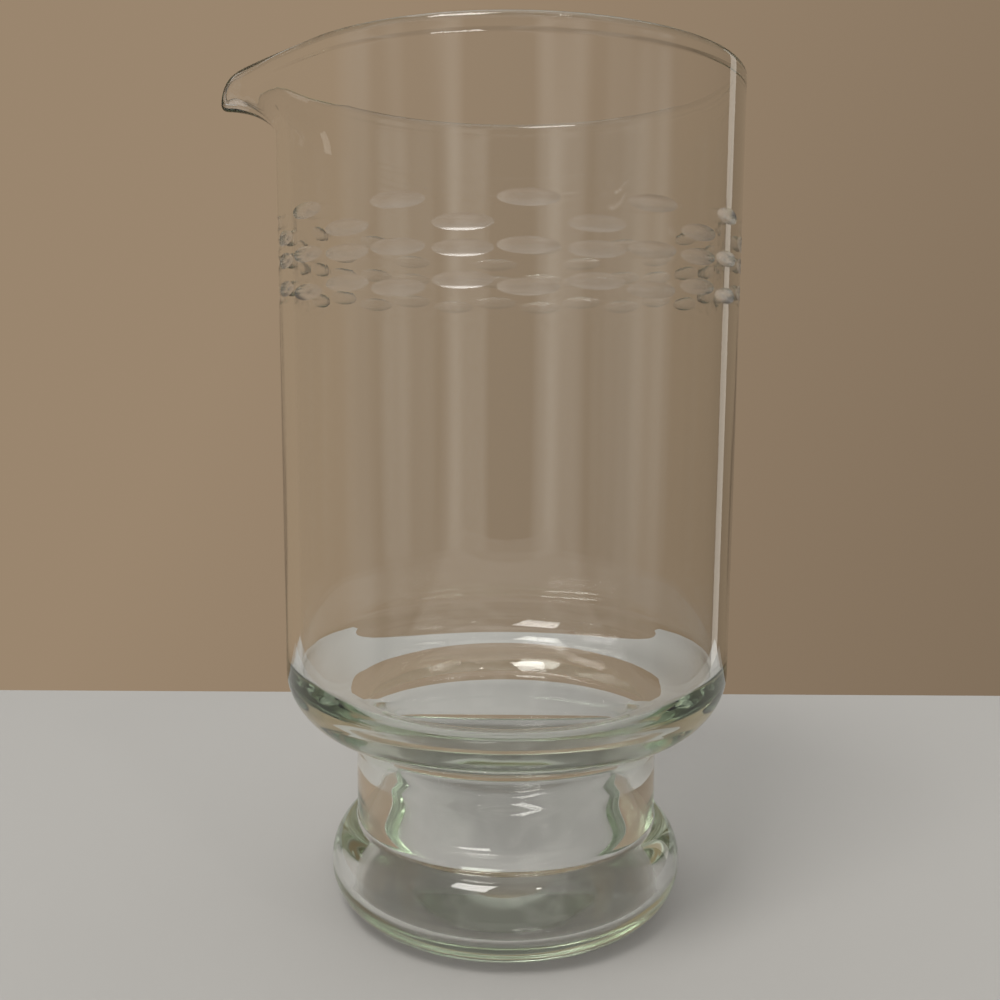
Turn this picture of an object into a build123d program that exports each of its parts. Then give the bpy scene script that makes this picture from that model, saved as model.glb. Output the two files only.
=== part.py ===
"""Footed cocktail pitcher in clear glass.

A tall straight bowl with a pour lip pulled out of its rim stands on a short
neck and a round, hollow foot. The glass is divided into a bowl and a foot at
the waist, where the neck's top ring meets the bowl's underside. Inside, one
smooth curve leads from the bowl through the neck into the foot, whose floor
rises to a dome in the middle.

Millimetres. Z is up, the table is z = 0, and the pitcher's axis is x = y = 0.
The pour lip points along -X.
"""
import os
from math import acos, atan2, cos, sin

from build123d import *

# Bowl
BOWL_RADIUS = 55.0  # outside of the straight wall
BOWL_WALL = 3.6  # glass thickness of the straight wall
RIM_HEIGHT = 201.5  # table to the top of the rim
UNDERSIDE_RISE = 6.5  # climb of the underside from the waist to the line of the wall
SHOULDER_ROUND = 14.0  # outside lower corner of the bowl
LEDGE = 6.5  # glass thickness of the bowl's bottom, at the line of the wall
FLOOR_FALL = 9.0  # fall of the bowl's floor from the wall to the throat
HEEL_ROUND = 11.0  # inside lower corner of the bowl
THROAT_ROUND = 17.0  # edge where the bowl's floor turns down into the neck
RIM_ROUND = 0.8  # fire-polished edges of the rim

# Pour lip
LIP_REACH = 15.4  # tip beyond the straight wall
LIP_HEIGHT = 16.5  # height of wall that is drawn out into the lip
LIP_DROP = 5.5  # tip below the top of the rim
LIP_CHANNEL_ROUND = 1.6  # inside of the lip's nose, seen from above

# Neck
WAIST_HEIGHT = 44.5  # table to the corner between the neck and the bowl's underside
WAIST_ROUND = 3.5  # inside of that corner
NECK_RADIUS = 38.0  # outside of the neck
NECK_WALL = 6.2  # glass thickness of the neck
FLARE_FALL = 9.5  # waist down to where the bore starts to widen into the foot

# Foot
FOOT_RADIUS = 44.5  # foot at its widest
FOOT_WIDEST_HEIGHT = 10.0  # table to the widest circle, also the foot's lower rounding
FOOT_HEIGHT = 21.5  # table to the corner between foot and neck
FOOT_WALL = 3.7  # glass thickness of the foot's side
BASE = 5.5  # glass thickness of the floor, round the dome
HOLLOW_ROUND = 4.5  # lower corner of the hollow
RING = 2.7  # flat ring of floor between that corner and the dome
DOME_RISE = 8.0  # dome above the ring
DOME_EDGE_ROUND = 9.0  # foot of the dome

# Sizes that follow from those above
BOWL_BORE_RADIUS = BOWL_RADIUS - BOWL_WALL
SHOULDER_HEIGHT = WAIST_HEIGHT + UNDERSIDE_RISE
HEEL_HEIGHT = SHOULDER_HEIGHT + LEDGE
THROAT_HEIGHT = HEEL_HEIGHT - FLOOR_FALL
LIP_START_HEIGHT = RIM_HEIGHT - LIP_HEIGHT
# The lip is drawn out on a straight slope, so at rim level, above its lowered tip, it would reach further.
LIP_REACH_AT_RIM = LIP_REACH * LIP_HEIGHT / (LIP_HEIGHT - LIP_DROP)
LIP_NOSE_ROUND = LIP_CHANNEL_ROUND + BOWL_WALL
LIP_NOSE_CENTRE = BOWL_RADIUS + LIP_REACH_AT_RIM - LIP_NOSE_ROUND
BORE_RADIUS = NECK_RADIUS - NECK_WALL
FLARE_HEIGHT = WAIST_HEIGHT - FLARE_FALL
HOLLOW_RADIUS = FOOT_RADIUS - FOOT_WALL
HOLLOW_HEIGHT = BASE + HOLLOW_ROUND
DOME_RADIUS = HOLLOW_RADIUS - HOLLOW_ROUND - RING


def outside_lines():
    """Outside of the half section, from the middle of the underside up to the foot of the lip."""
    underside = Line((0, 0), (FOOT_RADIUS - FOOT_WIDEST_HEIGHT, 0))
    lower = TangentArc(underside @ 1, (FOOT_RADIUS, FOOT_WIDEST_HEIGHT), tangent=(1, 0))
    upper = TangentArc(lower @ 1, (NECK_RADIUS, FOOT_HEIGHT), tangent=(0, 1))
    waist = (NECK_RADIUS, WAIST_HEIGHT)
    shoulder = (BOWL_RADIUS, SHOULDER_HEIGHT)
    return [underside, lower, upper, Polyline(upper @ 1, waist, shoulder, (BOWL_RADIUS, LIP_START_HEIGHT))]


def inside_lines():
    """Inside of the half section, from the foot of the lip down to the top of the dome."""
    bowl = Polyline(
        (BOWL_BORE_RADIUS, LIP_START_HEIGHT),
        (BOWL_BORE_RADIUS, HEEL_HEIGHT),
        (BORE_RADIUS, THROAT_HEIGHT),
        (BORE_RADIUS, FLARE_HEIGHT),
    )
    # Two equal arcs, upright at both ends, widen the bore into the hollow of the foot.
    widest = Vector(HOLLOW_RADIUS, HOLLOW_HEIGHT)
    flare = TangentArc(bowl @ 1, (bowl @ 1 + widest) / 2, tangent=(0, -1))
    side = TangentArc(flare @ 1, widest, tangent=flare % 1)
    corner = TangentArc(widest, (HOLLOW_RADIUS - HOLLOW_ROUND, BASE), tangent=(0, -1))
    ring = Line(corner @ 1, (DOME_RADIUS, BASE))
    dome = TangentArc((0, BASE + DOME_RISE), ring @ 1, tangent=(1, 0))
    return [bowl, flare, side, corner, ring, dome]


def turned_glass():
    """Everything below the lip, in one turn about the axis."""
    top = Line((BOWL_RADIUS, LIP_START_HEIGHT), (BOWL_BORE_RADIUS, LIP_START_HEIGHT))
    axis = Line((0, BASE + DOME_RISE), (0, 0))
    section = make_face([*outside_lines(), top, *inside_lines(), axis])
    roundings = (
        ((NECK_RADIUS, WAIST_HEIGHT), WAIST_ROUND),
        ((BOWL_RADIUS, SHOULDER_HEIGHT), SHOULDER_ROUND),
        ((BOWL_BORE_RADIUS, HEEL_HEIGHT), HEEL_ROUND),
        ((BORE_RADIUS, THROAT_HEIGHT), THROAT_ROUND),
        ((DOME_RADIUS, BASE), DOME_EDGE_ROUND),
    )
    for corner, radius in roundings:
        section = fillet(section.vertices().sort_by_distance(corner)[0], radius)
    return revolve(Plane.XZ * section, axis=Axis.Z)


def lip_corners():
    """Angles at the axis, from -X, to where the lip leaves the wall and to where its nose starts."""
    leaves = acos((BOWL_RADIUS - LIP_NOSE_ROUND) / LIP_NOSE_CENTRE)
    nose = atan2(LIP_NOSE_ROUND * sin(leaves), LIP_NOSE_CENTRE + LIP_NOSE_ROUND * cos(leaves))
    return leaves, nose


def at_angle(radius, angle):
    """Point on a circle about the axis, at an angle from -X."""
    return (-radius * cos(angle), radius * sin(angle))


def plain_section(radius):
    """Round section at the foot of the lip, divided where the rim's section is divided."""
    leaves, nose = lip_corners()
    back = ThreePointArc(at_angle(radius, leaves), (radius, 0), at_angle(radius, -leaves))
    near = ThreePointArc(back @ 1, at_angle(radius, -(leaves + nose) / 2), at_angle(radius, -nose))
    front = ThreePointArc(near @ 1, (-radius, 0), at_angle(radius, nose))
    far = ThreePointArc(front @ 1, at_angle(radius, (leaves + nose) / 2), back @ 0)
    return Pos(0, 0, LIP_START_HEIGHT) * make_face([back, near, front, far])


def lip_section(radius, nose_round):
    """Section at the rim: a circle drawn out by two tangents to a rounded nose."""
    leaves, _ = lip_corners()
    nose_x = -LIP_NOSE_CENTRE - nose_round * cos(leaves)
    nose_y = nose_round * sin(leaves)
    back = ThreePointArc(at_angle(radius, leaves), (radius, 0), at_angle(radius, -leaves))
    near = Line(back @ 1, (nose_x, -nose_y))
    front = ThreePointArc(near @ 1, (-LIP_NOSE_CENTRE - nose_round, 0), (nose_x, nose_y))
    far = Line(front @ 1, back @ 0)
    return Pos(0, 0, RIM_HEIGHT) * make_face([back, near, front, far])


def drawn_out(radius, nose_round):
    """Solid from the round section at the foot of the lip up to the section at the rim."""
    return loft([plain_section(radius), lip_section(radius, nose_round)], ruled=True)


def lip_dip():
    """Space above the lip, where the rim curves down from its level top to the tip."""
    leaves, _ = lip_corners()
    start = -BOWL_RADIUS * cos(leaves)
    run = BOWL_RADIUS + LIP_REACH + start
    bend = (run**2 + LIP_DROP**2) / (2 * LIP_DROP)
    width = 2 * BOWL_RADIUS
    low = Pos(start, 0, RIM_HEIGHT - bend)
    block = low * Box(bend, width, 2 * bend, align=(Align.MAX, Align.CENTER, Align.MIN))
    return block - low * Rot(90, 0, 0) * Cylinder(bend, width)


def rim_edges(bowl):
    """Inner and outer edges all round the rim, level part and lip."""
    top = bowl.faces().filter_by(lambda face: face.center().Z > LIP_START_HEIGHT)
    crown = top.filter_by(lambda face: face.normal_at().Z > 0.7)
    # The straight edges are the two seams across the rim, where the dip starts.
    return crown.edges().filter_by(GeomType.LINE, reverse=True)


def make_bowl():
    """Straight bowl with its rounded bottom, the opening into the neck, and the pour lip."""
    body = split(turned_glass(), bisect_by=Plane.XY.offset(WAIST_HEIGHT), keep=Keep.TOP)
    lip = drawn_out(BOWL_RADIUS, LIP_NOSE_ROUND) - drawn_out(BOWL_BORE_RADIUS, LIP_CHANNEL_ROUND)
    bowl = body + (lip - lip_dip())
    return fillet(rim_edges(bowl), RIM_ROUND)


def make_foot():
    """Neck and round foot, with the hollow that continues the bowl downwards."""
    return split(turned_glass(), bisect_by=Plane.XY.offset(WAIST_HEIGHT), keep=Keep.BOTTOM)


os.makedirs("parts", exist_ok=True)
export_step(make_bowl(), "parts/bowl.step")
export_step(make_foot(), "parts/foot.step")
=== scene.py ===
"""Footed cocktail pitcher in clear glass, with its pour lip, its cut ovals and a plain studio.

The bowl, neck and foot are one continuous body of glass, so they are one closed mesh: a half section
with rounded corners, spun about the pitcher's axis, whose wall is then bent out into the pour lip.
The ovals are ground into the finished wall. Metres, Z up, the table at z = 0, the lip along -X.
"""
import math

import bmesh
import bpy
from bpy.props import FloatProperty, FloatVectorProperty, IntProperty, PointerProperty
from mathutils import Matrix, Vector


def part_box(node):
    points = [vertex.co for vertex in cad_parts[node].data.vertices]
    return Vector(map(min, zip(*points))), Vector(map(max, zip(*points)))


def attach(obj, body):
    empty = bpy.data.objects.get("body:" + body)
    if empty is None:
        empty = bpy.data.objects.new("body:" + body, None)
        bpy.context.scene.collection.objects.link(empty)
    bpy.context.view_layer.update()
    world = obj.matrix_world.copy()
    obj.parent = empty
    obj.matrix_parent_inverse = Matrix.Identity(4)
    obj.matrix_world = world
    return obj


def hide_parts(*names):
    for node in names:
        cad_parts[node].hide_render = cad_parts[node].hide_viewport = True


bl_info = {
    "name": "Footed Cocktail Pitcher",
    "version": (1, 0, 0),
    "blender": (4, 5, 0),
    "location": "3D View > Sidebar > Pitcher",
    "description": "Builds a clear glass cocktail pitcher with a pour lip and cut ovals",
    "category": "Object",
}

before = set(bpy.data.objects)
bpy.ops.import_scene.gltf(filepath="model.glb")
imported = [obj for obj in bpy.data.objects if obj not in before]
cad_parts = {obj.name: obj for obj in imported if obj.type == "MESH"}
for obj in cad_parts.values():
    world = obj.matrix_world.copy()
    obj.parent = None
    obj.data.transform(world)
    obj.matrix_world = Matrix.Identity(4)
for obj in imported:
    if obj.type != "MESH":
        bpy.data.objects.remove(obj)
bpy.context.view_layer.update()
BOWL_LOW, BOWL_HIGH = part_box("bowl")
FOOT_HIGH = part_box("foot")[1]

MM = 0.001
GLASS_NAME = "pitcher_glass"
GROUND = "ground"  # face attribute, 1 on the ground ovals
ROWS = 6  # rows of ovals

# How finely the glass is divided
MERGE = 5e-6  # points closer than this are joined
LIP_SECTOR = math.radians(48.0)  # share of the turn with the lip, in fine steps
LIP_STEPS = 76
LIP_MESH = 0.8 * MM  # longest edge up the lip
WEDGES = 12  # equal wedges in the rest of the turn
WEDGE_STEPS = 20
OVAL_STEPS = 40
NO_PULL = 1e-4  # share of the lip's pull that is left out
SNUG = 0.995  # roundings that meet stop this short of each other
BEAD_SNUG = 0.999  # the same, on top of the bead
CROWN = 0.85  # share of the dome that its top rounding takes

# Heights of two rings in the wall, so that the ovals cut only the faces between them
OVALS_LOW = 0.146
OVALS_HIGH = 0.172

# Table: size, place of its middle just under the foot, and rounding of its edges
TABLE_SIZE = (0.46, 0.666, 0.02)
TABLE_PLACE = (0.0, -0.167, -0.0103)
TABLE_EDGE = 3.0 * MM
TABLE_ROUGHNESS = 0.8
TABLE_SHINE = 0.2

# Light
WARM = (1.0, 0.97, 0.93)
PALE = (1.0, 0.97, 0.90)
EVEN = (1.0, 0.98, 0.95)
BOUNCES = 32
NEAREST = 10.0 * MM  # nearest that the camera sees

# Lamps: name, place, point it aims at, width and height, power, tone
LAMPS = (
    ("key", (-0.35, -0.55, 1.25), (0, 0, 0.1), (0.45, 0.45), 7.5, WARM),
    ("fill", (0.05, 0.15, 1.25), (0, 0, 0.1), (1.0, 1.0), 2.6, WARM),
    ("window", (0.82, 0.61, 0.15), (0, 0, 0.15), (0.14, 1.1), 0.45, PALE),
    ("glint", (0.30, -0.50, 0.95), (0, 0, 0.2), (0.05, 0.05), 0.3, WARM),
)


def length(name, description, default):
    """A size in metres, shown in the scene's unit."""
    return FloatProperty(
        name=name, description=description, default=default, min=0.0, unit="LENGTH", precision=5
    )


def angle(name, description, degrees):
    """An angle, given in degrees."""
    turn = math.radians(degrees)
    return FloatProperty(name=name, description=description, default=turn, subtype="ANGLE")


def colour(name, description, default):
    """A colour in linear light."""
    return FloatVectorProperty(
        name=name, description=description, default=default, size=3, subtype="COLOR", min=0.0, max=1.0
    )


def share(name, description, default):
    """A plain number."""
    return FloatProperty(name=name, description=description, default=default, precision=4)


class PitcherSizes(bpy.types.PropertyGroup):
    """Half section of the glass."""

    bowl_radius: length("Bowl radius", "Outside of the straight wall", BOWL_HIGH.x)
    bowl_wall: length("Bowl wall", "Glass thickness of the straight wall", 3.6 * MM)
    rim_height: length("Rim height", "Table to the top of the rim", BOWL_HIGH.z)
    bead: length("Bead", "Radius of the fire-polished bead along the rim", 1.6 * MM)
    bead_fall: length("Bead fall", "Rim down to the corner under the bead", 2.72 * MM)
    bead_corner: length("Bead corner", "Inside of that corner", 1.0 * MM)
    rim_wall: length("Rim wall", "Glass thickness just under the bead", 2.9 * MM)
    rim_wall_fall: length("Rim wall fall", "Rim down to where that thickness is reached", 3.68 * MM)
    rim_wall_corner: length("Rim wall corner", "Rounding of the corner there", 2.0 * MM)
    lip_wall: length("Lip wall", "Glass thickness at the foot of the lip", 3.1 * MM)
    waist_height: length("Waist height", "Table to the corner under the bowl", BOWL_LOW.z)
    waist_round: length("Waist round", "Inside of that corner", 3.5 * MM)
    underside_rise: length("Underside rise", "Climb of the underside to the line of the wall", 6.5 * MM)
    shoulder_round: length("Shoulder round", "Outside lower corner of the bowl", 14.0 * MM)
    ledge: length("Ledge", "Glass thickness of the bowl's bottom", 6.5 * MM)
    floor_fall: length("Floor fall", "Fall of the bowl's floor from the wall to the throat", 9.0 * MM)
    heel_round: length("Heel round", "Inside lower corner of the bowl", 11.0 * MM)
    throat_round: length("Throat round", "Edge where the floor turns down into the neck", 17.0 * MM)
    neck_radius: length("Neck radius", "Outside of the neck", 38.0 * MM)
    neck_wall: length("Neck wall", "Glass thickness of the neck", 6.2 * MM)
    flare_fall: length("Flare fall", "Waist down to where the bore widens", 9.5 * MM)
    foot_radius: length("Foot radius", "Foot at its widest", FOOT_HIGH.x)
    foot_height: length("Foot height", "Table to the corner between foot and neck", 21.5 * MM)
    foot_round: length("Foot round", "Lower rounding of the foot", 10.0 * MM)
    bulge_round: length("Bulge round", "Upper rounding of the foot", 11.5 * MM)
    bulge_fall: length("Bulge fall", "Fall of the foot's top from the neck to its side", 3.9 * MM)
    foot_corner: length("Foot corner", "Inside of the corner between foot and neck", 1.5 * MM)
    foot_wall: length("Foot wall", "Glass thickness of the foot's side", 3.7 * MM)
    base: length("Base", "Glass thickness of the floor, round the dome", 5.5 * MM)
    hollow_round: length("Hollow round", "Lower corner of the hollow", 4.5 * MM)
    ring: length("Ring", "Flat ring of floor between that corner and the dome", 2.7 * MM)
    dome_rise: length("Dome rise", "Dome above the ring", 8.0 * MM)
    dome_edge_round: length("Dome edge round", "Foot of the dome", 9.0 * MM)
    dish: length("Dish", "Hollow of the underside at its centre", 0.6 * MM)
    dish_inset: length("Dish inset", "Flat ring of the underside, round the dish", 3.0 * MM)
    dish_round: length("Dish round", "Rounding at the edge of the dish", 60.0 * MM)


class LipSizes(bpy.types.PropertyGroup):
    """Pour lip, drawn out of the wall."""

    height: length("Height", "Wall that is drawn out into the lip", 15.0 * MM)
    reach: length("Reach", "How far the edge is drawn out at the tip", 13.7 * MM)
    drop: length("Drop", "How far the edge sinks at the tip", 4.6 * MM)
    spread: angle("Spread", "Angle from the lip's middle to where it leaves the round rim", 37.7)
    nose: angle("Nose", "Softness of the lip's point, seen from above", 4.0)
    thinning: share("Thinning", "How much of its thickness the glass loses at the tip", 0.45)
    dip: share("Dip", "How close to the tip the edge starts to sink; higher is closer", 8.0)


class OvalSizes(bpy.types.PropertyGroup):
    """Ovals ground into the wall, in six rows."""

    per_turn: IntProperty(name="Per turn", description="Ovals in each row", default=13, min=3)
    length: length("Length", "Oval along the wall", 12.4 * MM)
    height: length("Height", "Oval across the row", 3.4 * MM)
    depth: length("Depth", "Cut at the oval's middle", 0.53 * MM)
    wheel: length("Wheel", "Radius of the grinding wheel's edge", 3.0 * MM)
    row_heights: FloatVectorProperty(
        name="Row heights",
        description="Table to the middle of each row",
        size=ROWS,
        unit="LENGTH",
        default=[0.1671, 0.1625, 0.1581, 0.1576, 0.1515, 0.1502],
    )
    row_turns: FloatVectorProperty(
        name="Row turns",
        description="Turn of each row's first oval from the front",
        size=ROWS,
        unit="ROTATION",
        default=[math.radians(a) for a in (3.5, -9.9, 3.5, -9.9, -9.9, 3.5)],
    )


class GlassLook(bpy.types.PropertyGroup):
    """Finish of the glass."""

    index: share("Index", "Refractive index", 1.52)
    tint: colour("Tint", "Light that is left after a long way through the glass", (0.40, 0.63, 0.33))
    density: share("Density", "Strength of the tint for each metre of glass", 6.0)
    polish: share("Polish", "Roughness of the fire-polished surface", 0.0)
    ground: share("Ground", "Roughness of the ground and polished ovals", 0.20)
    sheen: share("Sheen", "Strength of the soft sheen on the ovals", 1.0)
    sheen_rough: share("Sheen roughness", "Roughness of that sheen", 0.75)
    sheen_index: share("Sheen index", "Refractive index of that sheen", 1.8)
    wave_scale: share("Wave scale", "Fineness of the waves in the drawn glass", 60.0)
    wave_stretch: share("Wave stretch", "Fineness of the waves up the wall, for 1 round it", 0.12)
    wave_height: length("Wave height", "Height of the waves", 0.06 * MM)
    smear_scale: share("Smear scale", "Fineness of the light smears", 35.0)
    smear_start: share("Smear start", "Level of the noise above which the glass is smeared", 0.56)
    smear_gain: share("Smear gain", "Roughness that the smears add for each step of the noise", 0.35)


class StageLook(bpy.types.PropertyGroup):
    """Table and camera."""

    table: colour("Table", "Plain table top", (0.455, 0.45, 0.435))
    camera: FloatVectorProperty(
        name="Camera",
        description="Place of the camera",
        default=(-0.0019, -0.2654, 0.1360),
        unit="LENGTH",
    )
    tilt: angle("Tilt", "How far the camera looks down", 7.424)
    roll: angle("Roll", "Turn of the camera about its line of sight", 0.331)
    lens: FloatProperty(name="Lens", description="Focal length", default=38.55, unit="CAMERA")


class RoomLook(bpy.types.PropertyGroup):
    """Background behind the object, and the uneven light in front of it that the glass reflects."""

    ambient: share("Ambient", "Even light from all round", 0.55)
    background: colour("Background", "Plain background", (0.325, 0.238, 0.157))
    middle: share("Middle", "Strength of the background straight behind the object", 0.9)
    rightward: share("Rightward", "Loss of strength to the right", 0.4)
    upward: share("Upward", "Gain of strength upwards", 0.2)
    top: share("Top", "Height from which the background darkens again", 0.3)
    top_loss: share("Top loss", "Loss of strength above that height", 1.1)
    bands: share("Bands", "Fineness of the upright bands of light", 2.6)
    band_start: share("Band start", "Level of the noise at which a band starts", 0.46)
    band_edge: share("Band edge", "Steepness of a band's edge", 7.0)
    band_light: share("Band light", "Strength of a band", 0.6)
    band_dark: share("Band dark", "Strength between the bands", 0.12)
    front: share("Front", "Steepness of the change from background to bands", 4.0)


class Shade:
    """An output socket in a node tree; arithmetic on it adds Math nodes."""

    def __init__(self, tree, socket=None):
        self.tree = tree
        self.socket = socket

    def node(self, kind, settings=None, inputs=None, output=0):
        """Adds a node with its settings and its inputs, which are values or links; returns an output."""
        made = self.tree.nodes.new(kind)
        for name, value in (settings or {}).items():
            setattr(made, name, value)
        for key, value in (inputs or {}).items():
            if isinstance(value, Shade):
                self.tree.links.new(value.socket, made.inputs[key])
            else:
                made.inputs[key].default_value = value
        return Shade(self.tree, made.outputs[output] if made.outputs else None)

    def sum(self, operation, first, second, clamp=False):
        """Adds one Math node."""
        settings = {"operation": operation, "use_clamp": clamp}
        return self.node("ShaderNodeMath", settings, {0: first, 1: second})

    def __add__(self, other):
        return self.sum("ADD", self, other)

    __radd__ = __add__

    def __sub__(self, other):
        return self.sum("SUBTRACT", self, other)

    def __rsub__(self, other):
        return self.sum("SUBTRACT", other, self)

    def __mul__(self, other):
        return self.sum("MULTIPLY", self, other)

    __rmul__ = __mul__

    def clamped(self):
        """Cut off below 0 and above 1."""
        return self.sum("ADD", self, 0.0, clamp=True)


def foot_corners(sizes):
    """Inside of the neck and foot, from the bore down and in to the axis, as in outline_corners."""
    bore = sizes.neck_radius - sizes.neck_wall
    hollow = sizes.foot_radius - sizes.foot_wall
    top = sizes.waist_height - sizes.flare_fall
    bottom = sizes.base + sizes.hollow_round
    across = hollow - bore
    down = top - bottom
    flare = (across**2 + down**2) / (4 * across)
    lead = flare * across / down
    dome = hollow - sizes.hollow_round - sizes.ring
    apex = sizes.base + sizes.dome_rise
    ball = (dome**2 + sizes.dome_rise**2) / (2 * sizes.dome_rise)
    return [
        (bore, top - lead, flare * SNUG, 10),
        (hollow, bottom + lead, flare * SNUG, 10),
        (hollow, sizes.base, sizes.hollow_round * SNUG, 12),
        (dome, sizes.base, sizes.dome_edge_round, 6),
        (ball * sizes.dome_rise / dome, apex, ball * CROWN, 14),
        (0.0, apex, 0.0, 0),
    ]


def outline_corners(sizes, lip):
    """Half section from the underside's centre up the outside and down the inside.

    Each corner has a radius, a height, a rounding and its number of steps.
    """
    inside = sizes.bowl_radius - sizes.bowl_wall
    beaded = sizes.bowl_radius - 2 * sizes.bead
    shoulder = sizes.waist_height + sizes.underside_rise
    heel = shoulder + sizes.ledge
    lip_start = sizes.rim_height - lip.height
    rim_wall_height = sizes.rim_height - sizes.rim_wall_fall
    stand = sizes.foot_radius - sizes.foot_round
    return [
        (0.0, sizes.dish, 0.0, 0),
        (stand - sizes.dish_inset, 0.0, sizes.dish_round, 3),
        (sizes.foot_radius, 0.0, sizes.foot_round, 14),
        (sizes.foot_radius, sizes.foot_height - sizes.bulge_fall, sizes.bulge_round, 10),
        (sizes.neck_radius, sizes.foot_height, sizes.foot_corner, 6),
        (sizes.neck_radius, sizes.waist_height, sizes.waist_round, 8),
        (sizes.bowl_radius, shoulder, sizes.shoulder_round, 16),
        (sizes.bowl_radius, OVALS_LOW, 0.0, 0),
        (sizes.bowl_radius, OVALS_HIGH, 0.0, 0),
        (sizes.bowl_radius, lip_start, 0.0, 0),
        (sizes.bowl_radius, sizes.rim_height, sizes.bead * BEAD_SNUG, 12),
        (beaded, sizes.rim_height, sizes.bead * BEAD_SNUG, 12),
        (beaded, sizes.rim_height - sizes.bead_fall, sizes.bead_corner, 6),
        (sizes.bowl_radius - sizes.rim_wall, rim_wall_height, sizes.rim_wall_corner, 6),
        (sizes.bowl_radius - sizes.lip_wall, lip_start, 0.0, 0),
        (inside, OVALS_HIGH, 0.0, 0),
        (inside, heel, sizes.heel_round, 14),
        (sizes.neck_radius - sizes.neck_wall, heel - sizes.floor_fall, sizes.throat_round, 14),
        *foot_corners(sizes),
    ]


def rounded_outline(shell, sizes, lip):
    """Draws the half section as a chain of edges with rounded corners."""
    corners = outline_corners(sizes, lip)
    points = [shell.verts.new((radius, 0.0, height)) for radius, height, _, _ in corners]
    places = [point.co.copy() for point in points]
    for start, end in zip(points, points[1:]):
        shell.edges.new((start, end))
    for index, (_, _, rounding, steps) in enumerate(corners):
        if rounding:
            before, here, after = places[index - 1 : index + 2]
            turn = (here - before).angle(after - here)
            bmesh.ops.bevel(
                shell,
                geom=[points[index]],
                offset=rounding * math.tan(turn / 2),
                offset_type="OFFSET",
                segments=steps,
                profile=0.5,
                affect="VERTICES",
                clamp_overlap=False,
                material=-1,
            )
    lip_start = sizes.rim_height - lip.height
    for edge in shell.edges[:]:
        cuts = int(edge.calc_length() / LIP_MESH)
        if cuts and min(vert.co.z for vert in edge.verts) > lip_start - MERGE:
            bmesh.ops.subdivide_edges(shell, edges=[edge], cuts=cuts)


def spun(shell):
    """Turns the half section into the glass: fine steps round the lip, then a repeated wedge."""
    about = {"cent": (0, 0, 0), "axis": (0, 0, 1)}
    wedge = (2 * math.pi - LIP_SECTOR) / WEDGES
    start = Matrix.Rotation(math.pi - LIP_SECTOR / 2, 3, "Z")
    bmesh.ops.rotate(shell, cent=(0, 0, 0), matrix=start, verts=shell.verts[:])
    strand = shell.verts[:] + shell.edges[:]
    strand = bmesh.ops.spin(shell, geom=strand, angle=LIP_SECTOR, steps=LIP_STEPS, **about)["geom_last"]
    lip_faces = set(shell.faces)
    bmesh.ops.spin(shell, geom=strand, angle=wedge, steps=WEDGE_STEPS, **about)
    faces = [face for face in shell.faces if face not in lip_faces]
    edges = {edge for face in faces for edge in face.edges}
    verts = {vert for face in faces for vert in face.verts}
    bmesh.ops.spin(
        shell,
        geom=[*verts, *edges, *faces],
        angle=wedge * (WEDGES - 1),
        steps=WEDGES - 1,
        use_duplicate=True,
        **about,
    )
    bmesh.ops.remove_doubles(shell, verts=shell.verts[:], dist=MERGE)
    bmesh.ops.recalc_face_normals(shell, faces=shell.faces[:])


def lip_pull(turn, lip):
    """How far the wall is drawn out at an angle from the lip's middle, from 0 to 1."""
    soft = math.hypot(turn, lip.nose) - lip.nose
    if soft >= lip.spread:
        return 0.0
    return (1 / math.cos(lip.spread - soft) - 1) / (1 / math.cos(lip.spread) - 1)


def bend_lip(shell, sizes, lip):
    """Draws the top of the wall out and over into the pour lip; the bead rides along on its edge."""
    start = sizes.rim_height - lip.height
    wall = lip.height - sizes.bead
    middle = sizes.bowl_radius - sizes.bead
    for vert in shell.verts:
        rise = vert.co.z - start
        if rise <= 0:
            continue
        pull = lip_pull(abs(math.atan2(vert.co.y, -vert.co.x)), lip)
        if pull < NO_PULL:
            continue
        along = min(rise / wall, 1.0)
        spare = max(rise - wall, 0.0)
        reach = lip.reach * pull
        drop = lip.drop * pull**lip.dip
        lean = math.atan2(2 * reach * along, wall - 3 * drop * along**2)
        out = reach * along**2 + spare * math.sin(lean)
        climb = wall * along - drop * along**3 + spare * math.cos(lean)
        flat = math.hypot(vert.co.x, vert.co.y)
        thick = (flat - middle) * (1 - lip.thinning * pull * along)
        radius = middle + out + thick * math.cos(lean)
        vert.co.x *= radius / flat
        vert.co.y *= radius / flat
        vert.co.z = start + climb - thick * math.sin(lean)


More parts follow.
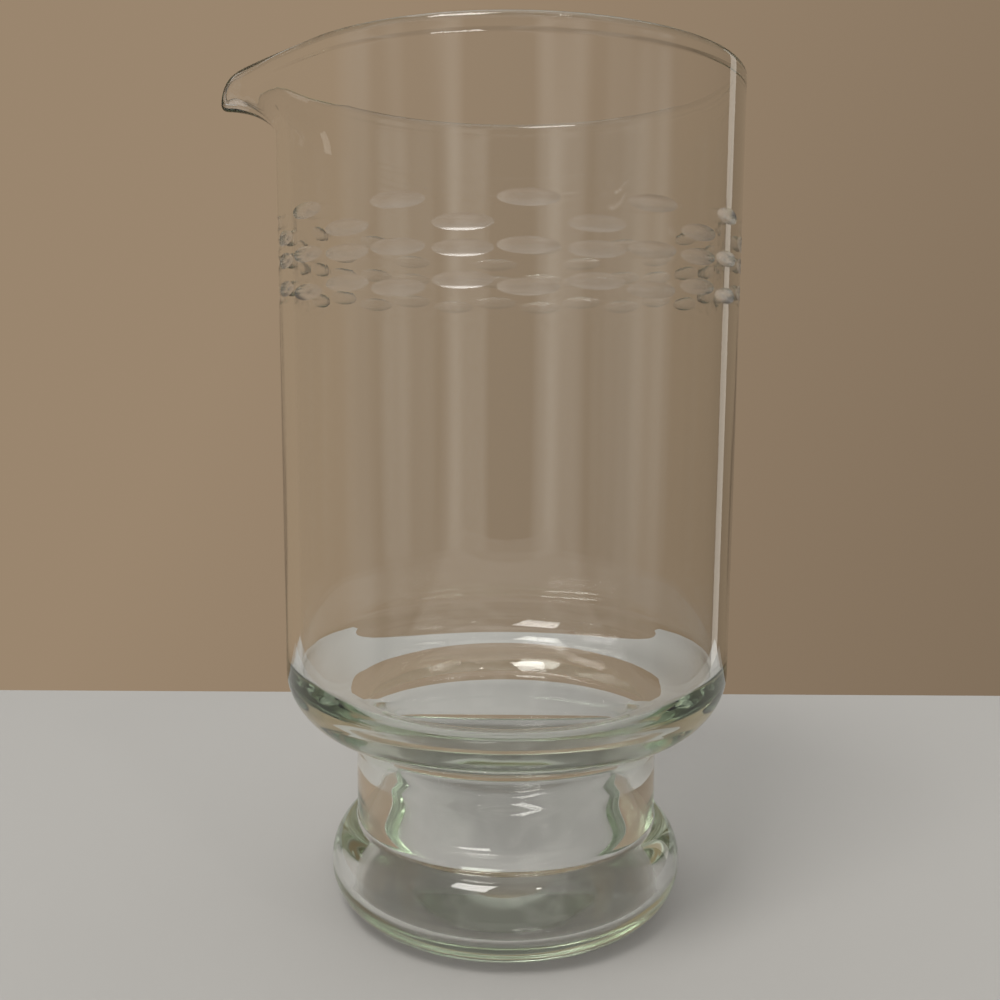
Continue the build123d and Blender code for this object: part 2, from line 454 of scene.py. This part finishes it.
def oval_cutters(sizes, ovals):
    """One mesh of all the ovals' cutting shapes, standing in the wall."""
    half = ovals.length / 2
    sink = ovals.wheel - ovals.depth
    fall = sizes.bowl_radius - math.sqrt(sizes.bowl_radius**2 - half**2)
    long = half / math.sqrt(1 - ((sink + fall) / ovals.wheel) ** 2)
    tall = ovals.height / 2 / math.sqrt(1 - (sink / ovals.wheel) ** 2)
    shape = Matrix.Diagonal((long, tall, ovals.wheel, 1.0))
    upright = Matrix.Rotation(math.pi / 2, 4, "X")
    pitch = 2 * math.pi / ovals.per_turn
    cutters = bmesh.new()
    for height, first in zip(ovals.row_heights, ovals.row_turns):
        front = Matrix.Translation((0.0, -sizes.bowl_radius - sink, height))
        place = Matrix.Rotation(first, 4, "Z") @ front @ upright @ shape
        oval = bmesh.ops.create_uvsphere(
            cutters, u_segments=OVAL_STEPS, v_segments=OVAL_STEPS, radius=1.0, matrix=place
        )["verts"]
        faces = {face for vert in oval for face in vert.link_faces}
        edges = {edge for face in faces for edge in face.edges}
        bmesh.ops.spin(
            cutters,
            geom=[*oval, *edges, *faces],
            cent=(0, 0, 0),
            axis=(0, 0, 1),
            angle=pitch * (ovals.per_turn - 1),
            steps=ovals.per_turn - 1,
            use_duplicate=True,
        )
    return cutters


def new_object(name, made):
    """Puts a finished bmesh into the scene as an object at the origin."""
    mesh = bpy.data.meshes.new(name)
    made.to_mesh(mesh)
    made.free()
    piece = bpy.data.objects.new(name, mesh)
    bpy.context.scene.collection.objects.link(piece)
    return piece


def glass_finish(look):
    """Clear glass with the faint waves of drawing, light smears, and ground ovals."""
    finish = bpy.data.materials.new("clear_glass")
    finish.use_nodes = True
    tree = finish.node_tree
    tree.nodes.clear()
    make = Shade(tree).node
    place = make("ShaderNodeTexCoord", output="Object")
    cut = make("ShaderNodeAttribute", {"attribute_name": GROUND}, output="Fac")

    stretch = (1.0, 1.0, look.wave_stretch)
    drawn = make("ShaderNodeMapping", {"vector_type": "POINT"}, {"Vector": place, "Scale": stretch})
    waves = make("ShaderNodeTexNoise", None, {"Vector": drawn, "Scale": look.wave_scale, "Detail": 2.0})
    height = waves * look.wave_height
    bump = make("ShaderNodeBump", None, {"Height": height, "Strength": 1.0, "Distance": 1.0})

    smear = make(
        "ShaderNodeTexNoise",
        None,
        {"Vector": place, "Scale": look.smear_scale, "Detail": 5.0, "Roughness": 0.6},
    )
    smears = ((smear - look.smear_start) * look.smear_gain).clamped()
    rough = look.polish + smears * (1 - cut) + cut * look.ground

    body = make(
        "ShaderNodeBsdfPrincipled",
        None,
        {
            "Base Color": (1.0, 1.0, 1.0, 1.0),
            "Roughness": rough,
            "IOR": look.index,
            "Transmission Weight": 1.0,
            "Coat Weight": cut * look.sheen,
            "Coat Roughness": look.sheen_rough,
            "Coat IOR": look.sheen_index,
            "Normal": bump,
        },
    )
    tint = (*look.tint, 1.0)
    inside = make("ShaderNodeVolumeAbsorption", None, {"Color": tint, "Density": look.density})
    make("ShaderNodeOutputMaterial", None, {"Surface": body, "Volume": inside})
    return finish


class PITCHER_OT_blow_body(bpy.types.Operator):
    """Make the bowl, neck and foot as one body of glass, with its pour lip"""

    bl_idname = "pitcher.blow_body"
    bl_label = "Blow Body"

    def execute(self, context):
        sizes, lip = context.scene.pitcher_sizes, context.scene.pitcher_lip
        shell = bmesh.new()
        rounded_outline(shell, sizes, lip)
        spun(shell)
        bend_lip(shell, sizes, lip)
        for face in shell.faces:
            face.smooth = True
        glass = new_object(GLASS_NAME, shell)
        glass.data.materials.append(glass_finish(context.scene.pitcher_glass))
        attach(glass, "root")
        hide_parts("bowl", "foot")
        return {"FINISHED"}


class PITCHER_OT_cut_ovals(bpy.types.Operator):
    """Grind the rows of ovals into the wall"""

    bl_idname = "pitcher.cut_ovals"
    bl_label = "Cut Ovals"

    def execute(self, context):
        glass = bpy.data.objects[GLASS_NAME]
        cutters = oval_cutters(context.scene.pitcher_sizes, context.scene.pitcher_ovals)
        cutter = new_object("oval_cutter", cutters)
        cutter.data.materials.append(bpy.data.materials.new("cut_mark"))
        cut = glass.modifiers.new("ovals", "BOOLEAN")
        cut.object = cutter
        cut.operation = "DIFFERENCE"
        cut.solver = "MANIFOLD"
        cut.material_mode = "TRANSFER"
        ready = glass.evaluated_get(context.evaluated_depsgraph_get())
        mesh = bpy.data.meshes.new_from_object(ready)
        glass.modifiers.clear()
        bpy.data.objects.remove(cutter)
        self.mark_ground(mesh)
        old = glass.data
        glass.data = mesh
        bpy.data.meshes.remove(old)
        mesh.name = GLASS_NAME
        return {"FINISHED"}

    def mark_ground(self, mesh):
        """Notes which faces are ground, gives them sharp outlines, and leaves one material."""
        shell = bmesh.new()
        shell.from_mesh(mesh)
        ground = shell.faces.layers.float.new(GROUND)
        for face in shell.faces:
            face.smooth = True
            face[ground] = float(face.material_index > 0)
        for edge in shell.edges:
            edge.smooth = len({face.material_index for face in edge.link_faces}) == 1
        for face in shell.faces:
            face.material_index = 0
        shell.to_mesh(mesh)
        shell.free()
        while len(mesh.materials) > 1:
            mesh.materials.pop()


def lamp(name, place, aim, size, power, tone):
    """A soft rectangular lamp that points at a place on the object."""
    light = bpy.data.lights.new(name, "AREA")
    light.shape = "RECTANGLE"
    light.size, light.size_y = size
    light.energy = power
    light.color = tone
    holder = bpy.data.objects.new(name, light)
    turn = (Vector(aim) - Vector(place)).to_track_quat("-Z", "Y")
    holder.matrix_world = Matrix.Translation(place) @ turn.to_matrix().to_4x4()
    holder.visible_camera = False
    bpy.context.scene.collection.objects.link(holder)
    return holder


def plain_finish(name, tone):
    """A plain matt surface for the stage."""
    finish = bpy.data.materials.new(name)
    finish.use_nodes = True
    surface = finish.node_tree.nodes["Principled BSDF"]
    surface.inputs["Base Color"].default_value = (*tone, 1.0)
    surface.inputs["Roughness"].default_value = TABLE_ROUGHNESS
    surface.inputs["Specular IOR Level"].default_value = TABLE_SHINE
    return finish


class PITCHER_OT_set_stage(bpy.types.Operator):
    """Set the table, background, lamps and camera"""

    bl_idname = "pitcher.set_stage"
    bl_label = "Set Stage"

    def execute(self, context):
        scene = context.scene
        self.lay_table(scene.pitcher_stage)
        self.light_room(scene, scene.pitcher_room)
        self.hang_lamps()
        self.place_camera(scene, scene.pitcher_stage)
        return {"FINISHED"}

    def lay_table(self, look):
        """A plain table top that takes the object's shadow."""
        top = bmesh.new()
        bmesh.ops.create_cube(top, size=1.0, matrix=Matrix.Diagonal((*TABLE_SIZE, 1.0)))
        bmesh.ops.translate(top, vec=TABLE_PLACE, verts=top.verts[:])
        bmesh.ops.bevel(
            top,
            geom=top.edges[:],
            offset=TABLE_EDGE,
            segments=3,
            profile=0.5,
            affect="EDGES",
            material=-1,
        )
        table = new_object("table_top", top)
        table.data.materials.append(plain_finish("plain_table", look.table))

    def light_room(self, scene, look):
        """A background that camera and glass see, and an even light for everything else."""
        world = bpy.data.worlds.new("studio")
        world.use_nodes = True
        tree = world.node_tree
        tree.nodes.clear()
        make = Shade(tree).node
        seen = make("ShaderNodeLightPath", output="Is Camera Ray")
        rays = seen.socket.node.outputs
        through = (
            seen + Shade(tree, rays["Is Glossy Ray"]) + Shade(tree, rays["Is Transmission Ray"])
        ).clamped()
        way = make("ShaderNodeTexCoord", output="Generated")
        x, y, z = (make("ShaderNodeSeparateXYZ", None, {0: way}, output=axis) for axis in "XYZ")

        climb = look.upward * z - look.top_loss * (z - look.top).clamped()
        fade = (look.middle - look.rightward * x + climb).clamped()
        wall = make("ShaderNodeBackground", None, {"Color": (*look.background, 1.0), "Strength": fade})

        flat = {"Vector": way, "Scale": (1.0, 1.0, 0.0)}
        level = make("ShaderNodeMapping", {"vector_type": "POINT"}, flat)
        noise = make("ShaderNodeTexNoise", None, {"Vector": level, "Scale": look.bands, "Detail": 1.0})
        band = ((noise - look.band_start) * look.band_edge).clamped()
        bands = look.band_dark + band * look.band_light
        room = make("ShaderNodeBackground", None, {"Color": (*PALE, 1.0), "Strength": bands})

        paint = make("ShaderNodeMixShader", None, {0: (-look.front * y).clamped(), 1: wall, 2: room})
        even = make("ShaderNodeBackground", None, {"Color": (*EVEN, 1.0), "Strength": look.ambient})
        both = make("ShaderNodeMixShader", None, {0: through, 1: even, 2: paint})
        make("ShaderNodeOutputWorld", None, {"Surface": both})
        scene.world = world

    def hang_lamps(self):
        """Soft lamps. The fill casts no shadow, and the window shows only as a reflection."""
        lamps = {row[0]: lamp(*row) for row in LAMPS}
        lamps["fill"].data.use_shadow = False
        lamps["window"].visible_transmission = False

    def place_camera(self, scene, look):
        """The camera of the photograph."""
        view = bpy.data.cameras.new("camera")
        view.lens = look.lens
        view.clip_start = NEAREST
        holder = bpy.data.objects.new("camera", view)
        tilt = Matrix.Rotation(math.pi / 2 - look.tilt, 4, "X")
        roll = Matrix.Rotation(look.roll, 4, "Z")
        holder.matrix_world = Matrix.Translation(look.camera) @ tilt @ roll
        scene.collection.objects.link(holder)
        scene.camera = holder
        scene.view_settings.view_transform = "Standard"
        scene.cycles.max_bounces = BOUNCES
        scene.cycles.glossy_bounces = BOUNCES
        scene.cycles.transmission_bounces = BOUNCES


class PITCHER_PT_panel(bpy.types.Panel):
    """Lists the pitcher's steps and sizes"""

    bl_idname = "PITCHER_PT_panel"
    bl_label = "Cocktail Pitcher"
    bl_space_type = "VIEW_3D"
    bl_region_type = "UI"
    bl_category = "Pitcher"

    def draw(self, context):
        for step in STEPS:
            self.layout.operator(step.bl_idname)
        for name in GROUPS:
            box = self.layout.box()
            group = getattr(context.scene, name)
            for key in group.__annotations__:
                box.prop(group, key)


STEPS = (PITCHER_OT_blow_body, PITCHER_OT_cut_ovals, PITCHER_OT_set_stage)
GROUPS = {
    "pitcher_sizes": PitcherSizes,
    "pitcher_lip": LipSizes,
    "pitcher_ovals": OvalSizes,
    "pitcher_glass": GlassLook,
    "pitcher_stage": StageLook,
    "pitcher_room": RoomLook,
}


def register():
    for group in GROUPS.values():
        bpy.utils.register_class(group)
    for name, group in GROUPS.items():
        setattr(bpy.types.Scene, name, PointerProperty(type=group))
    for step in STEPS:
        bpy.utils.register_class(step)
    bpy.utils.register_class(PITCHER_PT_panel)


def unregister():
    bpy.utils.unregister_class(PITCHER_PT_panel)
    for step in reversed(STEPS):
        bpy.utils.unregister_class(step)
    for name in GROUPS:
        delattr(bpy.types.Scene, name)
    for group in reversed(list(GROUPS.values())):
        bpy.utils.unregister_class(group)


def main():
    """Builds the pitcher and its stage."""
    register()
    bpy.ops.pitcher.blow_body()
    bpy.ops.pitcher.cut_ovals()
    bpy.ops.pitcher.set_stage()


if __name__ == "__main__":
    main()
